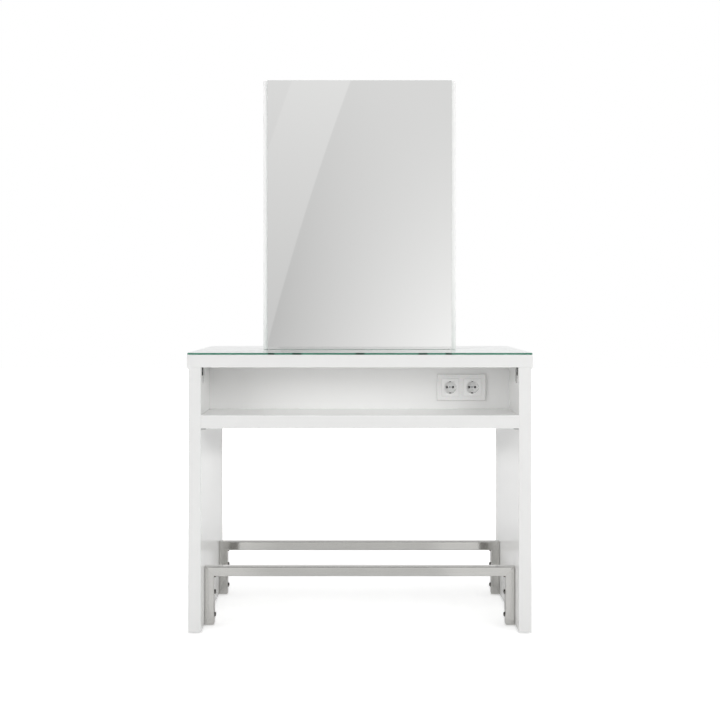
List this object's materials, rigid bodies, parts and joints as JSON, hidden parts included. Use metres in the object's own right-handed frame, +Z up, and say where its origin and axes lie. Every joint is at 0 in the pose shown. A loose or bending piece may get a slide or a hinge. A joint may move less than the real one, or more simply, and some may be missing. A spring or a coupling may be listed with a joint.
{
  "type": "double sided salon station",
  "caption": "Free-standing salon work station with a mirror on each side, a glass top, open niches with sockets, and steel footrests.",
  "frame": {"origin": "on the floor, under the middle of the station", "axes": "+X to the right along the width seen from the front side, -Y towards the front side, +Z up"},
  "size_m": [1.04, 0.616, 1.7194],
  "materials": {
    "white_laminate": "white melamine faced board, semi-matt",
    "clear_glass": "polished, green at the edges",
    "mirror": "silvered glass, polished arris",
    "painted_steel": "dark powder coat",
    "black_rubber": "matt",
    "zinc_steel": "bright zinc plate",
    "stainless_steel": "brushed along the tube",
    "white_plastic": "moulded, glossy",
    "earth_metal": "nickel plated spring strip",
    "grey_plastic": "moulded, satin",
    "terminal_plastic": "moulded, satin",
    "black_plastic": "moulded, satin",
    "brass": "turned, bare",
    "beech": "fluted dowel rod"
  },
  "bodies": {
    "station": {"side_panel_left": "white_laminate", "side_panel_right": "white_laminate", "top_panel": "white_laminate", "shelf_panel": "white_laminate", "spine_board_front": "white_laminate", "spine_board_rear": "white_laminate", "mirror_core": "white_laminate", "mirror_backing_front": "white_laminate", "mirror_backing_rear": "white_laminate", "glass_top": "clear_glass", "mirror_glass_front": "mirror", "mirror_glass_rear": "mirror", "mirror_posts": "painted_steel", "corner_connectors": "painted_steel", "slot_pads": "black_rubber", "post_screws": "zinc_steel", "backing_screws": "zinc_steel", "socket_screws": "zinc_steel", "mounting_screws": "zinc_steel", "connector_screws": "zinc_steel", "shelf_supports": "zinc_steel", "support_screws": "zinc_steel", "footrest_rail_front": "stainless_steel", "footrest_rail_rear": "stainless_steel", "upright_front_left": "stainless_steel", "upright_front_right": "stainless_steel", "upright_rear_left": "stainless_steel", "upright_rear_right": "stainless_steel", "footrest_bolts": "stainless_steel", "footrest_welds": "stainless_steel", "end_plate_front_left": "stainless_steel", "end_plate_front_right": "stainless_steel", "end_plate_rear_left": "stainless_steel", "end_plate_rear_right": "stainless_steel", "socket_frame_front": "white_plastic", "socket_frame_rear": "white_plastic", "socket_insert_front_left": "white_plastic", "socket_insert_front_right": "white_plastic", "socket_insert_rear_left": "white_plastic", "socket_insert_rear_right": "white_plastic", "earth_straps_front": "earth_metal", "earth_straps_rear": "earth_metal", "flush_box_front": "grey_plastic", "flush_box_rear": "grey_plastic", "junction_box": "grey_plastic", "junction_lid": "grey_plastic", "conduit_front": "grey_plastic", "conduit_rear": "grey_plastic", "cable_gland": "grey_plastic", "gland_nut": "grey_plastic", "terminal_block": "terminal_plastic", "pin_sleeves_front": "brass", "pin_sleeves_rear": "brass", "footrest_inserts": "brass", "foot_inserts": "brass", "dowels": "beech"},
    "foot_front_left": {"levelling_foot_front_left": "black_plastic"},
    "foot_front_right": {"levelling_foot_front_right": "black_plastic"},
    "foot_rear_left": {"levelling_foot_rear_left": "black_plastic"},
    "foot_rear_right": {"levelling_foot_rear_right": "black_plastic"}
  },
  "joints": [
    {"name": "foot_front_left_slide", "type": "slide", "parent": "station", "child": "foot_front_left", "axis": [0, 0, -1], "range_m": [0, 0.01]},
    {"name": "foot_front_right_slide", "type": "slide", "parent": "station", "child": "foot_front_right", "axis": [0, 0, -1], "range_m": [0, 0.01]},
    {"name": "foot_rear_left_slide", "type": "slide", "parent": "station", "child": "foot_rear_left", "axis": [0, 0, -1], "range_m": [0, 0.01]},
    {"name": "foot_rear_right_slide", "type": "slide", "parent": "station", "child": "foot_rear_right", "axis": [0, 0, -1], "range_m": [0, 0.01]}
  ]
}
